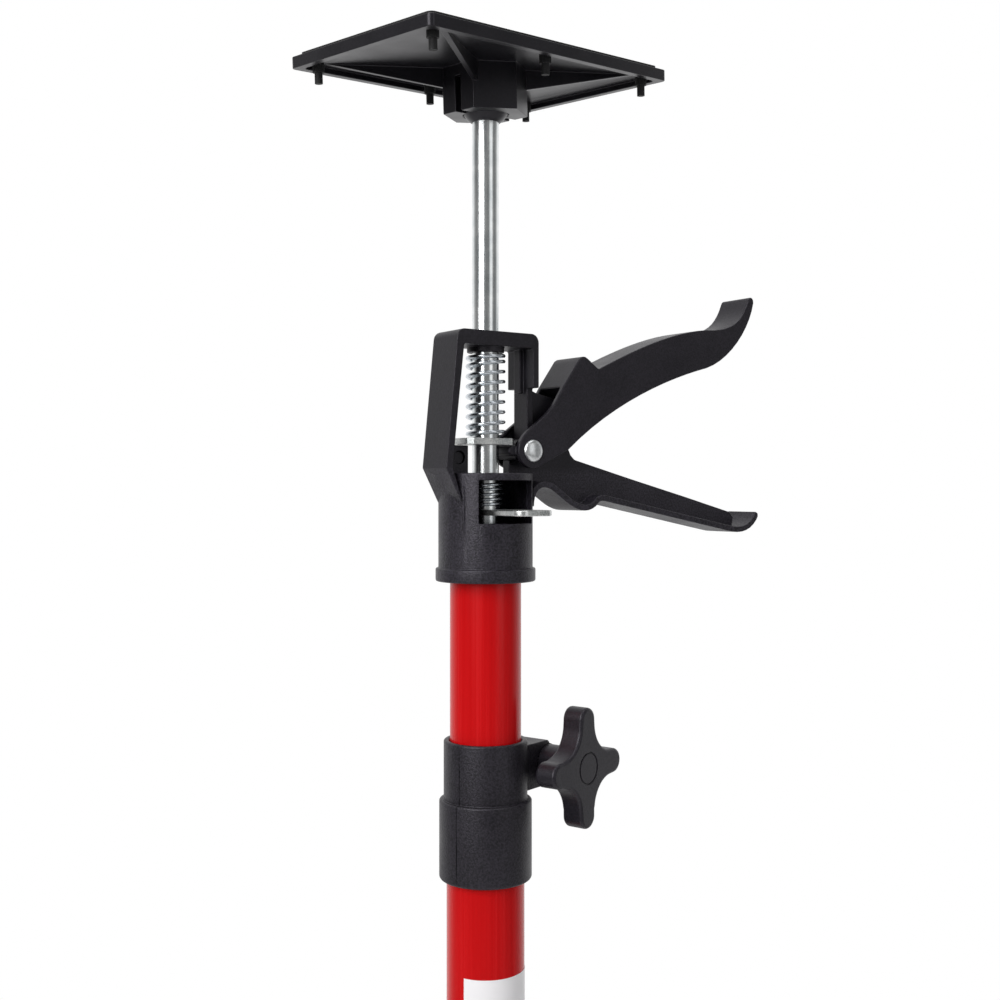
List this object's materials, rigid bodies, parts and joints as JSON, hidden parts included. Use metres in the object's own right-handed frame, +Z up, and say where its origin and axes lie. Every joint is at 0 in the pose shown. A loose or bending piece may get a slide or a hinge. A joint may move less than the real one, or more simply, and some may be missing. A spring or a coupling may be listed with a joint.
{
  "type": "telescopic support pole",
  "caption": "Telescopic support pole for drywall sheets, with nested steel tubes, a star-knob clamp collar, a lever clamp on a push rod and a swivel plate at each end.",
  "frame": {"origin": "centre of the foot pad's underside, on the axis of the pole", "axes": "+Z up along the pole, +X towards the two handles, -Y towards the release lever"},
  "size_m": [0.244, 0.114, 1.3224],
  "materials": {
    "red_tube": "glossy red powder coat",
    "black_moulding": "fine textured black moulding",
    "satin_moulding": "satin black moulding",
    "gloss_moulding": "smoother black moulding",
    "zinc": "bright zinc plate",
    "spring_steel": "zinc plated wire",
    "rubber": "dull black rubber",
    "pale_plastic": "plain white moulding"
  },
  "bodies": {
    "foot_base": {"foot_plate": "gloss_moulding", "foot_pad": "rubber"},
    "foot_swivel": {"foot_ball": "gloss_moulding", "foot_ball_screw": "zinc"},
    "lower_pole": {"foot_stud": "zinc", "foot_plug": "black_moulding", "lower_tube": "red_tube", "clamp_collar": "black_moulding", "collar_nut": "zinc"},
    "knob_seat": {"knob_washer": "zinc"},
    "knob": {"star_knob": "satin_moulding", "knob_stud": "zinc"},
    "slider": {"guide_bush": "pale_plastic"},
    "upper_pole": {"upper_tube": "red_tube", "clamp_housing": "black_moulding", "pivot_rivet": "zinc", "drive_spring": "spring_steel", "release_spring": "spring_steel"},
    "trigger_arm": {"trigger": "satin_moulding"},
    "drive": {"drive_plate": "zinc"},
    "release": {"release_lever": "zinc"},
    "rod": {"push_rod": "zinc", "rod_stop_washer": "zinc", "rod_stop_pin": "zinc"},
    "head_swivel": {"head_ball": "gloss_moulding", "head_ball_screw": "zinc"},
    "head": {"head_plate": "gloss_moulding", "head_pad": "rubber"}
  },
  "joints": [
    {"name": "foot_tilt", "type": "hinge", "parent": "foot_base", "child": "foot_swivel", "pos_m": [0, 0, 0.0184], "axis": [1, 0, 0], "range_deg": [-18, 18]},
    {"name": "foot_turn", "type": "hinge", "parent": "foot_swivel", "child": "lower_pole", "pos_m": [0, 0, 0.0184], "axis": [0, 0, 1], "continuous": true},
    {"name": "knob_travel", "type": "slide", "parent": "lower_pole", "child": "knob_seat", "axis": [0.309, -0.9511, 0], "range_m": [0, 0.0019]},
    {"name": "knob_turn", "type": "hinge", "parent": "knob_seat", "child": "knob", "pos_m": [0.03443, -0.01826, 0.99815], "axis": [0.309, -0.9511, 0], "range_deg": [0, 540]},
    {"name": "upper_slide", "type": "slide", "parent": "lower_pole", "child": "slider", "axis": [0, 0, 1], "range_m": [-0.068, 0.78]},
    {"name": "upper_turn", "type": "hinge", "parent": "slider", "child": "upper_pole", "pos_m": [0, 0, 0.9], "axis": [0, 0, 1], "continuous": true},
    {"name": "rod_slide", "type": "slide", "parent": "upper_pole", "child": "rod", "axis": [0, 0, 1], "range_m": [-0.08, 0.78]},
    {"name": "head_turn", "type": "hinge", "parent": "rod", "child": "head_swivel", "pos_m": [0, 0, 1.2975], "axis": [0, 0, 1], "continuous": true},
    {"name": "head_tilt", "type": "hinge", "parent": "head_swivel", "child": "head", "pos_m": [0, 0, 1.2975], "axis": [0.9828, 0.1705, 0.0714], "range_deg": [-18, 18]},
    {"name": "trigger_squeeze", "type": "hinge", "parent": "upper_pole", "child": "trigger_arm", "pos_m": [0.0192, 0, 1.1408], "axis": [0, 1, 0], "range_deg": [0, 28], "stiffness_Nm_per_rad": 1, "springref_deg": -11.46},
    {"name": "plate_lift", "type": "slide", "parent": "upper_pole", "child": "drive", "axis": [0, 0, 1], "range_m": [0, 0.0046], "deforming": ["drive_spring"]},
    {"name": "lever_release", "type": "hinge", "parent": "upper_pole", "child": "release", "pos_m": [0, 0.017, 1.1115], "axis": [-1, 0, 0], "range_deg": [0, 5], "stiffness_Nm_per_rad": 0.5, "springref_deg": -5.73, "deforming": ["release_spring"]}
  ],
  "couplings": [
    {"joint": "plate_lift", "follows": "trigger_squeeze", "m_per_rad": 0.0092},
    {"joint": "knob_travel", "follows": "knob_turn", "m_per_rad": 0.00019894}
  ]
}
